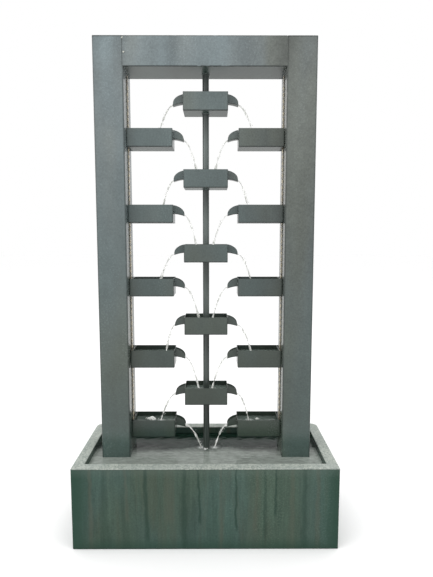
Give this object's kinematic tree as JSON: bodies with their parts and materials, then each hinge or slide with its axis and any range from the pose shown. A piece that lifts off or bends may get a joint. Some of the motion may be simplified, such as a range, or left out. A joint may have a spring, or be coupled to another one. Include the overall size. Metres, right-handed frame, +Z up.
{
  "type": "garden cascade fountain",
  "caption": "Free-standing cascade fountain: a tall portal frame in an open basin, with stepped bowls and spouts on a central riser pole and on both posts.",
  "frame": {"origin": "on the floor under the middle of the basin", "axes": "+Z up; +X to the right and +Y away from a viewer who faces the basin's streaked front"},
  "size_m": [0.708, 0.3163, 1.35],
  "materials": {
    "patina": "satin blue-grey patina paint with soft vertical clouding",
    "basin_paint": "dark green-grey patina paint with vertical drip streaks and a pale speckled rim",
    "pole_paint": "satin blue-grey paint, worn by running water",
    "strip_sleeve": "clear silicone sleeve over a strip with evenly spaced lamps",
    "black_plastic": "moulded, fine texture",
    "white_plastic": "moulded, smooth",
    "ceramic": "ground ceramic",
    "rubber": "soft black rubber",
    "clear_hose": "flexible clear vinyl, slightly clouded",
    "zinc": "zinc plated steel",
    "water": "clear running water"
  },
  "bodies": {
    "fountain": {"basin": "basin_paint", "lead_grommet": "rubber", "riser_plug": "rubber", "left_post": "patina", "right_post": "patina", "header": "patina", "left_foot_bracket": "zinc", "right_foot_bracket": "zinc", "left_foot_post_bolt": "zinc", "left_foot_floor_bolt": "zinc", "right_foot_post_bolt": "zinc", "right_foot_floor_bolt": "zinc", "lower_hose_clamp": "zinc", "upper_hose_clamp": "zinc", "riser_pole": "pole_paint", "centre_bowl_1": "patina", "left_bowl_1": "patina", "right_bowl_1": "patina", "centre_bowl_1_left_spout": "patina", "centre_bowl_1_right_spout": "patina", "left_bowl_1_spout": "patina", "right_bowl_1_spout": "patina", "centre_bowl_2": "patina", "left_bowl_2": "patina", "right_bowl_2": "patina", "centre_bowl_2_left_spout": "patina", "centre_bowl_2_right_spout": "patina", "left_bowl_2_spout": "patina", "right_bowl_2_spout": "patina", "centre_bowl_3": "patina", "left_bowl_3": "patina", "right_bowl_3": "patina", "centre_bowl_3_left_spout": "patina", "centre_bowl_3_right_spout": "patina", "left_bowl_3_spout": "patina", "right_bowl_3_spout": "patina", "centre_bowl_4": "patina", "left_bowl_4": "patina", "right_bowl_4": "patina", "centre_bowl_4_left_spout": "patina", "centre_bowl_4_right_spout": "patina", "left_bowl_4_spout": "patina", "right_bowl_4_spout": "patina", "centre_bowl_5": "patina", "left_bowl_5": "patina", "right_bowl_5": "patina", "centre_bowl_5_left_spout": "patina", "centre_bowl_5_right_spout": "patina", "left_bowl_5_spout": "patina", "right_bowl_5_spout": "patina", "left_light_strip": "strip_sleeve", "right_light_strip": "strip_sleeve", "pump_housing": "black_plastic", "pump_volute": "black_plastic", "rotor_shaft": "ceramic", "supply_hose": "clear_hose"},
    "rotor": {"pump_rotor": "white_plastic"},
    "strainer": {"pump_strainer": "black_plastic"},
    "dial": {"flow_dial": "white_plastic"}
  },
  "joints": [
    {"name": "rotor_spin", "type": "hinge", "parent": "fountain", "child": "rotor", "pos_m": [0, 0, 0.05], "axis": [1, 0, 0], "continuous": true},
    {"name": "strainer_slide", "type": "slide", "parent": "fountain", "child": "strainer", "axis": [1, 0, 0], "range_m": [0, 0.06]},
    {"name": "dial_turn", "type": "hinge", "parent": "strainer", "child": "dial", "pos_m": [0.092, 0, 0.05], "axis": [1, 0, 0], "range_deg": [0, 45]}
  ]
}
